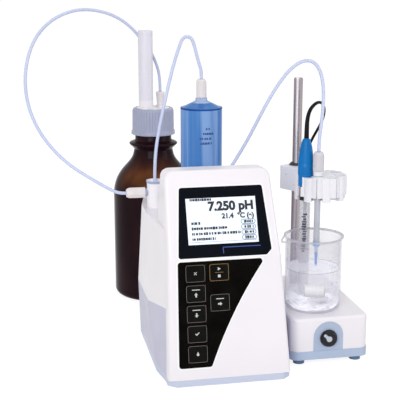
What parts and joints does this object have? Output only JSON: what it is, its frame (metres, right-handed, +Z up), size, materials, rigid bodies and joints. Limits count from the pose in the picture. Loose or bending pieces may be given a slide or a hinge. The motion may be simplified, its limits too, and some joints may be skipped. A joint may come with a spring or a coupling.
{
  "type": "automatic titrator",
  "caption": "Bench titrator: dosing unit with sloped display and keypad, cylinder in a blue sheath, amber reagent bottle, magnetic stirrer with stand, beaker and electrode.",
  "frame": {"origin": "on the bench, under the middle of the set without its cords", "axes": "+Z up, +Y from the keypad side to the back, +X to the right as seen from the front"},
  "size_m": [0.3448, 0.3606, 0.3605],
  "materials": {
    "housing": "satin",
    "housing_grey": "satin",
    "panel_black": "gloss",
    "screen": "gloss",
    "board": "matte",
    "dark_plastic": "matte",
    "steel": "brushed",
    "motor": "satin",
    "aluminium": "satin",
    "brass": "satin",
    "white_plastic": "satin",
    "rubber": "matte",
    "clear_glass": "clear",
    "blue_plastic": "gloss",
    "sheath_blue": "clear",
    "amber_glass": "clear",
    "cap_grey": "satin",
    "hose": "clear",
    "feet_blue": "matte",
    "panel_grey": "satin"
  },
  "bodies": {
    "titrator": {"display_window": "panel_black", "lcd_module": "screen", "keypad_panel": "panel_black", "front_bezel": "housing", "base_tub": "housing_grey", "upper_housing": "housing", "keypad_board": "board", "main_board": "board", "rear_panel": "housing_grey", "rear_sockets": "steel", "housing_feet": "rubber", "stepper_motor": "motor", "drive_frame": "aluminium", "cylinder_socket": "white_plastic", "cylinder_glass": "clear_glass", "uv_sheath": "sheath_blue", "valve_body": "white_plastic", "valve_motor": "motor", "tube_nuts": "white_plastic", "bottle_glass": "amber_glass", "cap_insert": "white_plastic", "drying_tube": "white_plastic", "suction_connector": "white_plastic", "dip_tube": "hose", "stirrer_cover": "housing", "stirrer_base": "panel_grey", "stirrer_feet": "feet_blue", "stir_motor": "motor", "stand_rod": "steel", "beaker": "clear_glass", "suction_tube": "hose", "transfer_tube": "hose", "dosing_tube": "hose", "electrode_cable": "dark_plastic", "cable_plug": "dark_plastic"},
    "lead_screw": {"lead_screw": "steel"},
    "carriage": {"drive_nut": "brass", "piston_rod": "aluminium", "piston": "white_plastic", "piston_seal": "rubber"},
    "valve_plug": {"valve_plug": "white_plastic"},
    "bottle_cap": {"bottle_cap": "cap_grey"},
    "stirrer_knob": {"stirrer_knob": "dark_plastic"},
    "magnet_rotor": {"magnet_rotor": "steel"},
    "stir_bar": {"stir_bar": "white_plastic"},
    "clamp_collar": {"clamp_collar": "dark_plastic"},
    "holder": {"holder_head": "white_plastic", "electrode_cap": "blue_plastic", "electrode_shaft": "clear_glass", "tip_nut": "white_plastic", "dosing_tip": "panel_grey"},
    "clamp_knob": {"clamp_knob": "dark_plastic"},
    "power_switch": {"power_switch": "dark_plastic"},
    "key_cancel": {"key_cancel": "dark_plastic"},
    "key_up": {"key_up": "dark_plastic"},
    "key_down": {"key_down": "dark_plastic"},
    "key_confirm": {"key_confirm": "dark_plastic"},
    "key_fill": {"key_fill": "dark_plastic"},
    "key_start_stop": {"key_start_stop": "dark_plastic"},
    "key_right": {"key_right": "dark_plastic"}
  },
  "joints": [
    {"name": "key_cancel_press", "type": "slide", "parent": "titrator", "child": "key_cancel", "axis": [0, 0.986, -0.1668], "range_m": [0, 0.0006], "stiffness_N_per_m": 300},
    {"name": "key_up_press", "type": "slide", "parent": "titrator", "child": "key_up", "axis": [0, 0.986, -0.1668], "range_m": [0, 0.0006], "stiffness_N_per_m": 300},
    {"name": "key_down_press", "type": "slide", "parent": "titrator", "child": "key_down", "axis": [0, 0.986, -0.1668], "range_m": [0, 0.0006], "stiffness_N_per_m": 300},
    {"name": "key_confirm_press", "type": "slide", "parent": "titrator", "child": "key_confirm", "axis": [0, 0.986, -0.1668], "range_m": [0, 0.0006], "stiffness_N_per_m": 300},
    {"name": "key_fill_press", "type": "slide", "parent": "titrator", "child": "key_fill", "axis": [0, 0.986, -0.1668], "range_m": [0, 0.0006], "stiffness_N_per_m": 300},
    {"name": "key_start_stop_press", "type": "slide", "parent": "titrator", "child": "key_start_stop", "axis": [0, 0.986, -0.1668], "range_m": [0, 0.0006], "stiffness_N_per_m": 300},
    {"name": "key_right_press", "type": "slide", "parent": "titrator", "child": "key_right", "axis": [0, 0.986, -0.1668], "range_m": [0, 0.0006], "stiffness_N_per_m": 300},
    {"name": "power_switch_rock", "type": "hinge", "parent": "titrator", "child": "power_switch", "pos_m": [-0.0626, 0.05615, 0.096], "axis": [1, 0, 0], "range_deg": [0, 12]},
    {"name": "screw_turn", "type": "hinge", "parent": "titrator", "child": "lead_screw", "pos_m": [-0.0336, -0.01525, 0.08], "axis": [0, 0, 1], "range_deg": [0, 11520]},
    {"name": "piston_stroke", "type": "slide", "parent": "titrator", "child": "carriage", "axis": [0, 0, 1], "range_m": [0, 0.064]},
    {"name": "valve_turn", "type": "hinge", "parent": "titrator", "child": "valve_plug", "pos_m": [-0.0886, -0.03025, 0.16], "axis": [0, 0, 1], "range_deg": [0, 120]},
    {"name": "cap_unscrew", "type": "hinge", "parent": "titrator", "child": "bottle_cap", "pos_m": [-0.0656, 0.12975, 0.22], "axis": [0, 0, 1], "range_deg": [0, 540]},
    {"name": "speed_knob_turn", "type": "hinge", "parent": "titrator", "child": "stirrer_knob", "pos_m": [0.0752, -0.14825, 0.0287], "axis": [0, -1, 0], "range_deg": [-140, 140]},
    {"name": "rotor_spin", "type": "hinge", "parent": "titrator", "child": "magnet_rotor", "pos_m": [0.0769, -0.10625, 0.04], "axis": [0, 0, 1], "continuous": true},
    {"name": "bar_spin", "type": "hinge", "parent": "titrator", "child": "stir_bar", "pos_m": [0.0769, -0.10625, 0.056], "axis": [0, 0, 1], "continuous": true},
    {"name": "holder_height", "type": "slide", "parent": "titrator", "child": "clamp_collar", "axis": [0, 0, 1], "range_m": [-0.002, 0.09], "deforming": ["dosing_tube", "electrode_cable"]},
    {"name": "holder_swing", "type": "hinge", "parent": "clamp_collar", "child": "holder", "pos_m": [0.0739, -0.02575, 0.177], "axis": [0, 0, 1], "range_deg": [-1, 10]},
    {"name": "clamp_knob_turn", "type": "hinge", "parent": "holder", "child": "clamp_knob", "pos_m": [0.08485, -0.0274, 0.1872], "axis": [0.9602, 0.2793, 0], "range_deg": [0, 360]}
  ],
  "couplings": [
    {"joint": "screw_turn", "follows": "piston_stroke", "rad_per_m": 3141.6},
    {"joint": "bar_spin", "follows": "rotor_spin", "ratio": 1}
  ]
}
